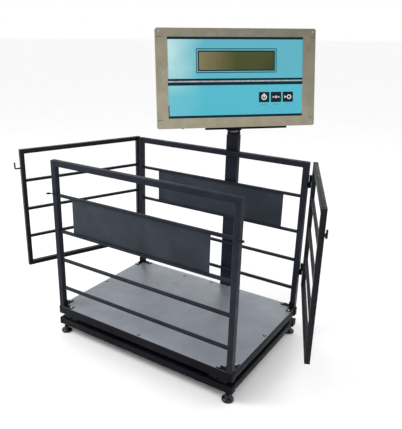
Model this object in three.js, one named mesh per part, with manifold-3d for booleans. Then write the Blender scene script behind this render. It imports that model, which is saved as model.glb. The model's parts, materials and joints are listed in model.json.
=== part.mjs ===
// Livestock weighing scale: a platform on load cells and levelling feet, two fixed side fences,
// two end gates on lift-off hinges, and a large indicator on a swivelling, tilting mast head.
// Millimetres, +Z up. While modelling, z = 0 is the top of the deck, +X is to the right along the
// fences and -Y is the front. At the end the whole model is set down on the floor.

import * as THREE from 'three';
import { mergeVertices } from 'three/addons/utils/BufferGeometryUtils.js';
import Module from 'manifold-3d';

const wasm = await Module();
wasm.setup();

// ---------------------------------------------------------------- driving dimensions
const GAP = 0.3; // clearance between touching pieces
const SLIVER = 0.004; // edges and bends smaller than this are merged away after a boolean

const DECK = { length: 1500, width: 1050, thickness: 4 };
const PLATFORM_TUBE = { width: 40, height: 60, wall: 2 };
const BASE_TUBE = { width: 50, height: 50, wall: 2 };
const CELL_SPACE = 41; // free height between the two frames
const DRAIN_RADIUS = 4;

const FENCE = { height: 1150, post: 40, rail: 20, wall: 2 };
const RAIL_HEIGHTS = [895, 620, 392, 161]; // centres of the thin rails, from the top down
const PANEL = { width: 1128, thickness: 3, offset: 13 }; // off centre, to the left seen from outside
const SHOE = { tab: 75, height: 45, sheet: 4 };

const GATE = { tube: 32, rail: 20, wall: 2, bottom: 197, top: 1150, midRails: 3 };
const GATE_OPEN_ANGLE = THREE.MathUtils.degToRad(22.5);
const GATE_REACH = 1046.5; // hinge axis to the free end
const HINGE = { outset: 9.5, inset: 0, heights: [1007, 322], barrel: 8, pin: 4.5, half: 47 };
const STILE_OFFSET = { x: 8.5, y: -4 }; // hinge axis to the near corner of the hinge stile

const HOOK = { height: 1000, radius: 6, reach: 37, arm: 50, grip: 28, bend: 10 };
const EYE = { height: 905, ring: 12, wire: 4.2, out: 24, forward: 16.2, shank: 30 };

const FOOT = { height: 69, pad: 40, neck: 17, stem: 8, inset: { x: 32, y: 25 } };
const CELL = { length: 130, width: 30, beam: 29, seat: 40, bore: 8, inset: 38 };

const MAST = { x: 119, width: 100, depth: 40, wall: 3, top: 1262, clearance: 6 };
const FLANGE = { radius: 50, thickness: 8, bore: 12.6 };
const TURNTABLE = { thickness: 16, stub: 12, stubLength: 26 };
const TILT = { height: 1309, pin: 8, bore: 8.3, drill: 120, ear: 15, lug: 70, earWidth: 8 };
const HEAD_TURN = THREE.MathUtils.degToRad(46); // from facing the front towards the right
const HEAD_TILT = THREE.MathUtils.degToRad(10);

// the indicator, measured from the tilt axis to the middle of its front face
const FACE = { shift: -12, forward: 128, raise: 361 };
const BEZEL = { width: 1200, height: 696, depth: 22, skin: 2.5, corner: 16 };
const OPENING = { u0: -517, u1: 503, v0: -276, v1: 289, corner: 3 };
const REAR_BOX = { width: 1100, height: 662, back: 110, wall: 2 };
const PANEL_SHEET = { front: 2.8, back: 5.8, overlap: 10 };
const WINDOW = { u0: -288, u1: 280, v0: 58, v1: 189 };
const KEY = { width: 80, height: 73, pitch: 93, u0: 163, v0: -172, front: 1.3, back: 7.3 };
const RAIL_UNDER = { u0: -241, u1: 394, front: 30, back: 142, drop: 363, sheet: 6 };

// ---------------------------------------------------------------- materials
const finish = (color, roughness, metalness) =>
  new THREE.MeshStandardMaterial({ color, roughness, metalness });
const MATERIALS = {
  tube: finish(0x33373d, 0.5, 0.4),
  sheet: finish(0x3f4854, 0.6, 0.3),
  base: finish(0x17181b, 0.55, 0.3),
  deck: finish(0x94979d, 0.45, 0.7),
  zinc: finish(0xb9bcc0, 0.35, 0.9),
  rubber: finish(0x111111, 0.8, 0.0),
  cell: finish(0xa9acb0, 0.4, 0.9),
  housing: finish(0xa39e86, 0.55, 0.1),
  face: finish(0x62c8e0, 0.4, 0.0),
  glass: finish(0x70704a, 0.15, 0.0),
  board: finish(0x1f5a35, 0.6, 0.1),
  key: finish(0x12202e, 0.45, 0.0),
};

// ---------------------------------------------------------------- geometry helpers
const sorted = (a, b) => (a < b ? [a, b] : [b, a]);

function box(xs, ys, zs) {
  const [x0, x1] = sorted(...xs);
  const [y0, y1] = sorted(...ys);
  const [z0, z1] = sorted(...zs);
  const geometry = new THREE.BoxGeometry(x1 - x0, y1 - y0, z1 - z0);
  return geometry.translate((x0 + x1) / 2, (y0 + y1) / 2, (z0 + z1) / 2);
}

// a cylinder standing on z = 0
function cylinder(radius, height, segments = 32) {
  const geometry = new THREE.CylinderGeometry(radius, radius, height, segments);
  return geometry.rotateX(Math.PI / 2).translate(0, 0, height / 2);
}

// a cylinder along X, centred on the origin
const crossCylinder = (radius, length, segments = 32) =>
  new THREE.CylinderGeometry(radius, radius, length, segments).rotateZ(Math.PI / 2);

function solidOf(geometry) {
  const plain = geometry.clone();
  plain.deleteAttribute('normal');
  plain.deleteAttribute('uv');
  const merged = mergeVertices(plain, 1e-4);
  const mesh = new wasm.Mesh({
    numProp: 3,
    vertProperties: new Float32Array(merged.attributes.position.array),
    triVerts: new Uint32Array(merged.index.array),
  });
  return new wasm.Manifold(mesh);
}

function geometryOf(solid) {
  const mesh = solid.getMesh();
  const geometry = new THREE.BufferGeometry();
  geometry.setAttribute('position', new THREE.BufferAttribute(mesh.vertProperties, 3));
  geometry.setIndex(new THREE.BufferAttribute(mesh.triVerts, 1));
  geometry.computeVertexNormals();
  return geometry;
}

// joins the first list of geometries and cuts the second list out of them
function carve(joined, cut = []) {
  let solid = solidOf(joined[0]);
  for (const geometry of joined.slice(1)) solid = solid.add(solidOf(geometry));
  for (const geometry of cut) solid = solid.subtract(solidOf(geometry));
  return geometryOf(solid.asOriginal().simplify(SLIVER));
}

// a square tube of the given half width, open at both ends, along Z from z0 to z1
function openTube(side, wall, z0, z1) {
  const half = side / 2;
  const square = (h) => [[-h, -h], [h, -h], [h, h], [-h, h]].map(([x, y]) => new THREE.Vector2(x, y));
  const shape = new THREE.Shape(square(half));
  shape.holes.push(new THREE.Path(square(half - wall)));
  const geometry = new THREE.ExtrudeGeometry(shape, { depth: z1 - z0, bevelEnabled: false });
  return geometry.translate(0, 0, z0);
}

function roundedOutline(target, x0, x1, y0, y1, r) {
  target.moveTo(x0 + r, y0);
  target.lineTo(x1 - r, y0);
  target.absarc(x1 - r, y0 + r, r, -Math.PI / 2, 0, false);
  target.lineTo(x1, y1 - r);
  target.absarc(x1 - r, y1 - r, r, 0, Math.PI / 2, false);
  target.lineTo(x0 + r, y1);
  target.absarc(x0 + r, y1 - r, r, Math.PI / 2, Math.PI, false);
  target.lineTo(x0, y0 + r);
  target.absarc(x0 + r, y0 + r, r, Math.PI, Math.PI * 1.5, false);
  return target;
}

// an outline in the indicator's face plane, extruded from depth d0 to depth d1 behind the face
function slab(shape, d0, d1) {
  const settings = { depth: d1 - d0, bevelEnabled: false, curveSegments: 5 };
  return new THREE.ExtrudeGeometry(shape, settings).rotateX(Math.PI / 2).translate(0, d1, 0);
}

// a round rod along straight runs with rounded corners
function bentRod(points, radius, bend) {
  const path = new THREE.CurvePath();
  const vectors = points.map((p) => new THREE.Vector3(...p));
  let start = vectors[0];
  for (let i = 1; i < vectors.length - 1; i += 1) {
    const before = vectors[i].clone().lerp(vectors[i - 1], bend / vectors[i].distanceTo(vectors[i - 1]));
    const after = vectors[i].clone().lerp(vectors[i + 1], bend / vectors[i].distanceTo(vectors[i + 1]));
    path.add(new THREE.LineCurve3(start, before));
    path.add(new THREE.QuadraticBezierCurve3(before, vectors[i], after));
    start = after;
  }
  path.add(new THREE.LineCurve3(start, vectors[vectors.length - 1]));
  const section = new THREE.Shape().absarc(0, 0, radius, 0, Math.PI * 2, false);
  const settings = { steps: 24, curveSegments: 7, bevelEnabled: false, extrudePath: path };
  return new THREE.ExtrudeGeometry(section, settings);
}

function add(group, name, geometry, material) {
  const mesh = new THREE.Mesh(geometry, material);
  mesh.name = name;
  group.add(mesh);
  return mesh;
}

// ---------------------------------------------------------------- welded frames
// A rectangular frame of hollow tubes with cross members along Y. Its channels run into each other,
// and the cuts open them to the outside.
function tubeFrame(tube, z0, z1, crossXs, cuts) {
  const x = DECK.length / 2;
  const y = DECK.width / 2;
  const { width, wall } = tube;
  const outer = [];
  const inner = [];
  const zIn = [z0 + wall, z1 - wall];
  const ys = [width - y - 1, y - width + 1];
  const ysIn = [ys[0] - wall, ys[1] + wall];
  for (const side of [-1, 1]) {
    outer.push(box([-x, x], [side * y, side * (y - width)], [z0, z1]));
    inner.push(box([wall - x, x - wall], [side * (y - wall), side * (y - width + wall)], zIn));
    outer.push(box([side * x, side * (x - width)], ys, [z0, z1]));
    inner.push(box([side * (x - wall), side * (x - width + wall)], ysIn, zIn));
  }
  for (const cx of crossXs) {
    const half = width / 2;
    outer.push(box([cx - half, cx + half], ys, [z0, z1]));
    inner.push(box([cx - half + wall, cx + half - wall], ysIn, zIn));
  }
  return carve(outer, [...inner, ...cuts]);
}

function platform(group) {
  const { length, width, thickness } = DECK;
  const frameTop = -thickness - GAP;
  const frameBottom = frameTop - PLATFORM_TUBE.height;
  const baseTop = frameBottom - CELL_SPACE;
  const baseBottom = baseTop - BASE_TUBE.height;
  const deck = box([-length / 2, length / 2], [-width / 2, width / 2], [-thickness, 0]);
  add(group, 'deck_plate', deck, MATERIALS.deck);

  const drains = [-1, 1].map((side) =>
    cylinder(DRAIN_RADIUS, 10, 16).translate(side * (length / 2 - 120), width / 2 - 20, frameBottom - 5));
  const upper = tubeFrame(PLATFORM_TUBE, frameBottom, frameTop, [-250, 250], drains);
  add(group, 'platform_frame', upper, MATERIALS.base);

  const stemHoles = [];
  for (const sx of [-1, 1]) {
    for (const sy of [-1, 1]) {
      const corner = sy < 0 ? 'front' : 'back';
      const name = `${corner}_${sx < 0 ? 'left' : 'right'}`;
      const footX = sx * (length / 2 - FOOT.inset.x);
      const footY = sy * (width / 2 - FOOT.inset.y);
      stemHoles.push(cylinder(FOOT.stem + 1, 10, 24).translate(footX, footY, baseBottom - 5));
      const foot = add(group, `levelling_foot_${name}`, levellingFoot(), MATERIALS.rubber);
      foot.position.set(footX, footY, baseBottom - FOOT.height);

      const cell = add(group, `load_cell_${name}`, loadCell(sx), MATERIALS.cell);
      cell.position.set(sx * (length / 2 - CELL.inset), sy * (width / 2 - BASE_TUBE.width / 2), baseTop);
    }
  }
  add(group, 'base_frame', tubeFrame(BASE_TUBE, baseBottom, baseTop, [0], stemHoles), MATERIALS.base);
  return baseBottom;
}

// pad, flared neck, lock nut and threaded stem, standing on z = 0
function levellingFoot() {
  const { height, pad, neck, stem } = FOOT;
  const profile = [
    [0, 0], [pad - 2, 0], [pad, 2], [pad, 8], [pad - 3, 11], [neck + 5, 17], [neck + 1, 22], [neck, 28],
    [neck, 46], [stem, 46], [stem, height + 30], [0, height + 30],
  ].map(([r, z]) => new THREE.Vector2(r, z));
  const body = new THREE.LatheGeometry(profile, 32).rotateX(Math.PI / 2);
  const nut = cylinder(15, 12, 6).translate(0, 0, height - 12 - GAP);
  return carve([body, nut]);
}

// shear beam reaching inwards from its seat on the base frame to its seat under the platform
function loadCell(side) {
  const inward = -side;
  const { length, width, beam, seat, bore } = CELL;
  const low = (CELL_SPACE - beam) / 2;
  const ys = [-width / 2, width / 2];
  const pieces = [
    box([0, inward * length], ys, [low, low + beam]),
    box([0, inward * seat], ys, [GAP, low + 1]),
    box([inward * (length - seat), inward * length], ys, [low + beam - 1, CELL_SPACE - GAP]),
  ];
  const hole = new THREE.CylinderGeometry(bore, bore, width + 2, 24);
  return carve(pieces, [hole.translate(inward * (length / 2), 0, low + beam / 2)]);
}

// ---------------------------------------------------------------- fences
function post() {
  const { post: side, wall, height } = FENCE;
  const half = side / 2;
  const outer = box([-half, half], [-half, half], [GAP, height]);
  const channel = box([wall - half, half - wall], [wall - half, half - wall], [-1, height - 3]);
  return carve([outer], [channel]);
}

// angle that hugs the two inner faces of a post, with a bolting tab bent out from each leg
function postShoe(sx, sy) {
  const half = FENCE.post / 2;
  const { tab, height, sheet } = SHOE;
  const near = half + GAP;
  const far = near + sheet;
  const zs = [GAP, height];
  const tabZs = [GAP, GAP + sheet];
  return carve([
    box([-sx * near, -sx * far], [sy * half, -sy * far], zs),
    box([sx * half, -sx * far], [-sy * near, -sy * far], zs),
    box([-sx * near, -sx * (near + tab)], [sy * half, -sy * half], tabZs),
    box([sx * half, -sx * half], [-sy * near, -sy * (near + tab)], tabZs),
  ]);
}

function fence(group, side, name) {
  const half = FENCE.post / 2;
  const centreX = DECK.length / 2 - half;
  const row = new THREE.Group();
  row.position.y = side * (DECK.width / 2 - half);
  group.add(row);
  for (const [sx, hand] of [[-1, 'left'], [1, 'right']]) {
    const upright = add(row, `${name}_fence_${hand}_post`, post(), MATERIALS.tube);
    upright.position.x = sx * centreX;
    const shoe = add(row, `post_shoe_${name}_${hand}`, postShoe(sx, side), MATERIALS.tube);
    shoe.position.x = sx * centreX;
  }
  const span = centreX - half - GAP;
  const rail = (label, tube, z) => {
    const geometry = openTube(tube, FENCE.wall, -span, span).rotateY(Math.PI / 2);
    add(row, `${name}_fence_${label}`, geometry, MATERIALS.tube).position.z = z;
  };
  rail('top_rail', FENCE.post, FENCE.height - half);
  RAIL_HEIGHTS.forEach((z, i) => rail(`rail_${i + 2}`, FENCE.rail, z));
  const margin = FENCE.rail / 2 + GAP;
  const middle = side * PANEL.offset;
  const xs = [middle - PANEL.width / 2, middle + PANEL.width / 2];
  const ys = [-PANEL.thickness / 2, PANEL.thickness / 2];
  const sheet = box(xs, ys, [RAIL_HEIGHTS[1] + margin, RAIL_HEIGHTS[0] - margin]);
  add(row, `${name}_fence_panel`, sheet, MATERIALS.sheet);
}

// ---------------------------------------------------------------- gates
// Each gate is built shut, from its hinge axis towards -Y, with +X away from the platform on the
// right-hand side, and then turned about that axis.
function gateFrame(side) {
  const { tube, rail, wall, bottom, top, midRails } = GATE;
  const xs = [STILE_OFFSET.x, STILE_OFFSET.x + tube];
  const inset = ([a, b], by) => [a + by, b - by];
  const turned = (range) => range.map((v) => side * v);
  const yHinge = -STILE_OFFSET.y;
  const yFree = -GATE_REACH;
  const outer = [];
  const inner = [];
  const bar = (barXs, ys, zs) => {
    outer.push(box(turned(barXs), ys, zs));
    inner.push(box(turned(inset(barXs, wall)), inset(ys, wall), inset(zs, wall)));
  };
  bar(xs, [yHinge - tube, yHinge], [bottom, top]);
  bar(xs, [yFree, yFree + tube], [bottom, top]);
  for (const z of [bottom, top - tube]) bar(xs, [yFree, yHinge], [z, z + tube]);
  const middle = (xs[0] + xs[1]) / 2;
  const pitch = (top - bottom - tube) / (midRails + 1);
  for (let i = 1; i <= midRails; i += 1) {
    const z = bottom + tube / 2 + i * pitch;
    const railXs = [middle - rail / 2, middle + rail / 2];
    const zs = [z - rail / 2, z + rail / 2];
    const ys = [yFree + tube - 1, yHinge - tube + 1];
    outer.push(box(turned(railXs), ys, zs));
    inner.push(box(turned(inset(railXs, wall)), inset(ys, -wall), inset(zs, wall)));
  }
  const drains = [yHinge - tube / 2, yFree + tube / 2].map((y) =>
    cylinder(DRAIN_RADIUS, 10, 16).translate(side * middle, y, bottom - 5));
  return carve(outer, [...inner, ...drains]);
}

// lower half of a lift-off hinge: leaf on the post, barrel and pin, about the hinge axis
function hingePin(side) {
  const { outset, barrel, pin, half } = HINGE;
  const leaf = box([side * (GAP - outset), side * (GAP - outset + 4)], [-38, -2], [-half, -1]);
  const body = cylinder(barrel, half - 1).translate(0, 0, -half);
  const spindle = cylinder(pin, half + 40, 24).translate(0, 0, -half + 2);
  return carve([body, leaf, spindle]);
}

// upper half: barrel that drops over the pin, and leaf on the gate's stile
function hingeSocket(side) {
  const { barrel, pin, half } = HINGE;
  const near = STILE_OFFSET.x - GAP;
  const leaf = box([side * (near - 4.5), side * near], [-26, 2], [1, half]);
  const body = cylinder(barrel, half - 1).translate(0, 0, 1);
  const bore = cylinder(pin + GAP, half - 3, 24).translate(0, 0, -1);
  return carve([body, leaf], [bore]);
}

// L-shaped rod across the outer face of the free stile, with its arm turned up past the gate's end
function latchHook(side) {
  const { height, radius, reach, arm, grip, bend } = HOOK;
  const x = side * (STILE_OFFSET.x + GATE.tube + GAP + radius);
  const y = -GATE_REACH;
  return bentRod([[x, y + grip, height], [x, y - reach, height], [x, y - reach, height + arm]], radius, bend);
}

// flat ring on a rod that lies across the front face of the front post
function latchEye(side) {
  const { ring, wire, out, forward, shank } = EYE;
  const hoop = new THREE.TorusGeometry(ring, wire, 12, 28).translate(side * out, -forward, 0);
  const ends = [-shank, out - ring / 3];
  const rod = crossCylinder(wire * 1.05, ends[1] - ends[0], 14);
  return carve([hoop, rod.translate((side * (ends[0] + ends[1])) / 2, -wire * 1.05 - GAP, 0)]);
}

function gate(group, side, hand) {
  const axis = new THREE.Group();
  const x = side * (DECK.length / 2 + HINGE.outset);
  const y = DECK.width / 2 - HINGE.inset;
  axis.position.set(x, y, 0);
  axis.rotation.z = side * GATE_OPEN_ANGLE;
  group.add(axis);
  add(axis, `${hand}_gate_frame`, gateFrame(side), MATERIALS.tube);
  add(axis, `${hand}_gate_latch_hook`, latchHook(side), MATERIALS.tube);
  for (const [i, level] of ['upper', 'lower'].entries()) {
    const z = HINGE.heights[i];
    const socket = add(axis, `${hand}_${level}_hinge_socket`, hingeSocket(side), MATERIALS.tube);
    socket.position.z = z;
    const pin = add(group, `${hand}_${level}_hinge_pin`, hingePin(side), MATERIALS.tube);
    pin.position.set(x, y, z);
  }
  const eye = add(group, `${hand}_latch_eye`, latchEye(side), MATERIALS.tube);
  eye.position.set((side * DECK.length) / 2, -DECK.width / 2, EYE.height);
}

// ---------------------------------------------------------------- mast and its head
function mast(group, baseBottom) {
  const { x, width, depth, wall, top, clearance } = MAST;
  const y0 = DECK.width / 2 + clearance;
  const column = new THREE.Group();
  column.position.set(x, y0 + depth / 2, 0);
  group.add(column);
  const halves = [width / 2, depth / 2];
  const outer = box([-halves[0], halves[0]], [-halves[1], halves[1]], [baseBottom, top]);
  const xs = [wall - halves[0], halves[0] - wall];
  const ys = [wall - halves[1], halves[1] - wall];
  const channel = box(xs, ys, [baseBottom - 1, top - 3]);
  const flange = cylinder(FLANGE.radius, FLANGE.thickness, 48).translate(0, 0, top);
  const bore = cylinder(FLANGE.bore, 40).translate(0, 0, top - 20);
  add(column, 'indicator_mast', carve([outer, flange], [channel, bore]), MATERIALS.tube);

  const zs = [baseBottom, baseBottom + BASE_TUBE.height];
  const plateYs = [GAP - clearance - halves[1], -GAP - halves[1]];
  const clampParts = [box([-90, 90], plateYs, zs)];
  for (const side of [-1, 1]) {
    const near = side * (halves[0] + GAP);
    clampParts.push(box([near, near + side * 5], [plateYs[0], halves[1]], zs));
  }
  add(column, 'mast_clamp_bracket', carve(clampParts), MATERIALS.base);
  return column;
}

// disc that turns on the mast's flange, with two ears for the tilt pin
function turntable() {
  const bottom = MAST.top + FLANGE.thickness + GAP;
  const top = bottom + TURNTABLE.thickness;
  const pieces = [
    cylinder(FLANGE.radius, TURNTABLE.thickness, 48).translate(0, 0, bottom),
    cylinder(TURNTABLE.stub, TURNTABLE.stubLength).translate(0, 0, bottom - TURNTABLE.stubLength + 1),
  ];
  for (const side of [-1, 1]) {
    const near = side * (TILT.lug / 2 + 0.5);
    const far = near + side * TILT.earWidth;
    pieces.push(box([near, far], [-TILT.ear, TILT.ear], [top - 1, TILT.height]));
    pieces.push(crossCylinder(TILT.ear, TILT.earWidth).translate((near + far) / 2, 0, TILT.height));
  }
  const bore = crossCylinder(TILT.bore, TILT.drill).translate(0, 0, TILT.height);
  return carve(pieces, [bore]);
}

// pin with a clamping knob at each end
function tiltPin() {
  const reach = TILT.lug / 2 + 0.5 + TILT.earWidth + GAP;
  const pieces = [crossCylinder(TILT.pin, 2 * reach + 4)];
  for (const side of [-1, 1]) {
    pieces.push(crossCylinder(14, 14, 10).translate(side * (reach + 7), 0, 0));
  }
  return carve(pieces);
}

// folded rail under the indicator, with the lug that the tilt pin goes through
function mountingRail() {
  const { u0, u1, front, back, drop, sheet } = RAIL_UNDER;
  const top = -REAR_BOX.height / 2 - GAP;
  const lugY = FACE.forward;
  const lugZ = -FACE.raise;
  const lugX = -FACE.shift;
  const lugXs = [lugX - TILT.lug / 2, lugX + TILT.lug / 2];
  const pieces = [
    box([u0, u1], [front, back], [top - sheet, top]),
    box([u0, u1], [front, front + sheet], [-drop, top]),
    box(lugXs, [lugY - 15, back], [lugZ, top - sheet + 1]),
    crossCylinder(15, TILT.lug).translate(lugX, lugY, lugZ),
  ];
  return carve(pieces, [crossCylinder(TILT.bore, TILT.drill).translate(lugX, lugY, lugZ)]);
}

// ---------------------------------------------------------------- indicator
// In the indicator's own frame x runs right across the face, y goes back into the housing from the
// front face, and z runs up the face.
const rectangle = (kind, { u0, u1, v0, v1 }, r) => roundedOutline(new kind(), u0, u1, v0, v1, r);

const centred = (width, height) =>
  ({ u0: -width / 2, u1: width / 2, v0: -height / 2, v1: height / 2 });

const grown = ({ u0, u1, v0, v1 }, by) => ({ u0: u0 - by, u1: u1 + by, v0: v0 - by, v1: v1 + by });

const keyOutline = (i) => {
  const u0 = KEY.u0 + i * KEY.pitch;
  return { u0, u1: u0 + KEY.width, v0: KEY.v0, v1: KEY.v0 + KEY.height };
};

function bezel() {
  const outline = centred(BEZEL.width, BEZEL.height);
  const skin = rectangle(THREE.Shape, outline, BEZEL.corner);
  skin.holes.push(rectangle(THREE.Path, OPENING, OPENING.corner));
  const rim = rectangle(THREE.Shape, outline, BEZEL.corner);
  rim.holes.push(rectangle(THREE.Path, grown(outline, -BEZEL.skin), BEZEL.corner - BEZEL.skin));
  return carve([slab(skin, 0, BEZEL.skin), slab(rim, 1, BEZEL.depth)]);
}

function rearHousing() {
  const { width, height, back, wall } = REAR_BOX;
  const flangeBack = BEZEL.depth - GAP;
  const inside = grown(centred(BEZEL.width, BEZEL.height), -BEZEL.skin - GAP);
  const box2 = centred(width, height);
  const flange = rectangle(THREE.Shape, inside, BEZEL.corner - BEZEL.skin - GAP);
  const body = slab(rectangle(THREE.Shape, box2, 12), flangeBack - wall, back);
  const hollow = slab(rectangle(THREE.Shape, grown(box2, -wall), 10), 0, back - wall);
  const cableHole = cylinder(8, 20, 20).translate(-400, 70, -height / 2 - 10);
  return carve([slab(flange, flangeBack - wall, flangeBack), body], [hollow, cableHole]);
}

function facePanel() {
  const { front, back, overlap } = PANEL_SHEET;
  const sheet = rectangle(THREE.Shape, grown(OPENING, overlap), 4);
  sheet.holes.push(rectangle(THREE.Path, grown(WINDOW, GAP), 2));
  for (let i = 0; i < 3; i += 1) {
    sheet.holes.push(rectangle(THREE.Path, grown(keyOutline(i), GAP), 4));
  }
  return slab(sheet, front, back);
}

// key with a lip behind the face panel that holds it in
function keyCap(i) {
  const cap = slab(rectangle(THREE.Shape, keyOutline(i), 4), KEY.front, KEY.back);
  const lip = rectangle(THREE.Shape, grown(keyOutline(i), 3), 4);
  return carve([cap, slab(lip, PANEL_SHEET.back + GAP, KEY.back)]);
}

// display glass with its frame and board, behind the window
function displayModule() {
  const inner = grown(WINDOW, 12);
  const carrier = slab(rectangle(THREE.Shape, inner, 3), 9, 12);
  const glass = slab(rectangle(THREE.Shape, grown(WINDOW, 4), 2), 6.2, 9.5);
  return carve([glass, carrier]);
}

// board on four standoffs, with a switch behind each key, a transformer and a terminal block
function circuitBoard() {
  const front = 16;
  const pieces = [slab(rectangle(THREE.Shape, { u0: -220, u1: 470, v0: -225, v1: -40 }, 4), front, front + 2)];
  for (let i = 0; i < 3; i += 1) {
    const { u0, u1, v0, v1 } = keyOutline(i);
    const [u, v] = [(u0 + u1) / 2, (v0 + v1) / 2];
    pieces.push(box([u - 8, u + 8], [KEY.back + 2.6, front + 1], [v - 8, v + 8]));
  }
  for (const [u, v] of [[-210, -215], [-210, -50], [458, -215], [458, -50]]) {
    pieces.push(box([u - 5, u + 5], [PANEL_SHEET.back + GAP, front + 1], [v - 5, v + 5]));
  }
  pieces.push(box([-190, -110], [front + 1, front + 52], [-170, -100]));
  pieces.push(box([-60, 40], [front + 1, front + 14], [-215, -190]));
  pieces.push(box([0, 60], [front + 1, front + 6], [-150, -90]));
  return carve(pieces);
}

// hexagonal gland body under the housing with its threaded neck through the cable hole
function cableGland() {
  const flange = -REAR_BOX.height / 2 - GAP;
  const neck = cylinder(7.6, 14, 20).translate(0, 0, flange - 2);
  const hexagon = cylinder(12, 8, 6).translate(0, 0, flange - 8);
  const cap = new THREE.CylinderGeometry(10.5, 8, 14, 20).rotateX(Math.PI / 2).translate(0, 0, flange - 14);
  const bore = cylinder(3.5, 60, 16).translate(0, 0, flange - 40);
  return carve([hexagon, neck, cap], [bore]).translate(-400, 70, 0);
}

function indicator(group) {
  add(group, 'indicator_front_bezel', bezel(), MATERIALS.housing);
  add(group, 'indicator_rear_housing', rearHousing(), MATERIALS.housing);
  add(group, 'indicator_face_panel', facePanel(), MATERIALS.face);
  const { front, back } = PANEL_SHEET;
  add(group, 'display_window', slab(rectangle(THREE.Shape, WINDOW, 2), front, back), MATERIALS.glass);
  add(group, 'display_module', displayModule(), MATERIALS.board);
  add(group, 'indicator_circuit_board', circuitBoard(), MATERIALS.board);
  for (const [i, name] of ['key_left', 'key_middle', 'key_right'].entries()) {
    add(group, name, keyCap(i), MATERIALS.key);
  }
  add(group, 'indicator_mounting_rail', mountingRail(), MATERIALS.base);
  add(group, 'cable_gland', cableGland(), MATERIALS.rubber);
}

function mastHead(column) {
  const swivel = new THREE.Group();
  swivel.rotation.z = HEAD_TURN;
  column.add(swivel);
  add(swivel, 'swivel_turntable', turntable(), MATERIALS.base);
  add(swivel, 'tilt_pin', tiltPin(), MATERIALS.zinc).position.z = TILT.height;
  const head = new THREE.Group();
  head.position.z = TILT.height;
  head.rotation.x = -HEAD_TILT;
  swivel.add(head);
  const face = new THREE.Group();
  face.position.set(FACE.shift, -FACE.forward, FACE.raise);
  head.add(face);
  indicator(face);
}

// ---------------------------------------------------------------- the whole scale
const scale = new THREE.Group();
const model = new THREE.Group();
scale.add(model);
const baseBottom = platform(model);
fence(model, -1, 'front');
fence(model, 1, 'back');
gate(model, -1, 'left');
gate(model, 1, 'right');
mastHead(mast(model, baseBottom));

// the origin is the middle of the bottom of the whole object's box
const bounds = new THREE.Box3().setFromObject(scale, true);
const middle = bounds.getCenter(new THREE.Vector3()).round();
model.position.set(-middle.x, -middle.y, -bounds.min.z);
scale.updateMatrixWorld(true);

export default scale;
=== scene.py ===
"""Looks for the animal weighing scale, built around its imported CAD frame. Metres, +Z up.

The CAD nodes keep their shapes and get rounded edges and procedural materials. New pieces add
what the nodes leave plain: welds, bolts and screws, threaded feet, the printed indicator face and
its keys.
"""
import json
import math
import random

import bmesh
import bpy
from mathutils import Matrix, Vector


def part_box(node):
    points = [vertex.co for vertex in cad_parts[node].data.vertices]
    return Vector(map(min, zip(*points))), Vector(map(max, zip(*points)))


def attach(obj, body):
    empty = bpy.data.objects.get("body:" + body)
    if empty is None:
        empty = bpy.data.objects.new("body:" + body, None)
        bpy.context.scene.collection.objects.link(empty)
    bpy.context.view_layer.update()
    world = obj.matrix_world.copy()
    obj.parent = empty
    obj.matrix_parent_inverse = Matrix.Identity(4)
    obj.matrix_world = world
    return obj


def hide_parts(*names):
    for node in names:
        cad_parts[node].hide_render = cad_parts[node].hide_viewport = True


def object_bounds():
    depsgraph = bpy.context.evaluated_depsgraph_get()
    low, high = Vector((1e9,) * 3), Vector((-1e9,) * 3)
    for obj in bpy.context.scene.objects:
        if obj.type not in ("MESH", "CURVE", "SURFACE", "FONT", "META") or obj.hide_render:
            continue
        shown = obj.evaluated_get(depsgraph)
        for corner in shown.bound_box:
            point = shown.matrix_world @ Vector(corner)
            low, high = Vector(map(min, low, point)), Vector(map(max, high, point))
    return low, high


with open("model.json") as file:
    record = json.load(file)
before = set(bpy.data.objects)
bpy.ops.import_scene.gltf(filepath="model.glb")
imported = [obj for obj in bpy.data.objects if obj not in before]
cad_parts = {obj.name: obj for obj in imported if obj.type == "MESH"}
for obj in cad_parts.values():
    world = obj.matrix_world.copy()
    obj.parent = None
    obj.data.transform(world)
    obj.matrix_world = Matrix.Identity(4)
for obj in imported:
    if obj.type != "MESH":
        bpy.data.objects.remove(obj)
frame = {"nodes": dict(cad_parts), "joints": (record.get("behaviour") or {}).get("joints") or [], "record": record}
cad_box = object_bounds()
nodes = frame["nodes"]
joints = {j["name"]: j for j in frame["joints"]}
random.seed(7)

ROWS = [("front", -1), ("back", 1)]
SIDES = [("left", -1), ("right", 1)]
CORNERS = [(row, sy, side, sx) for row, sy in ROWS for side, sx in SIDES]
X, Y, Z = Vector((1, 0, 0)), Vector((0, 1, 0)), Vector((0, 0, 1))


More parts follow.
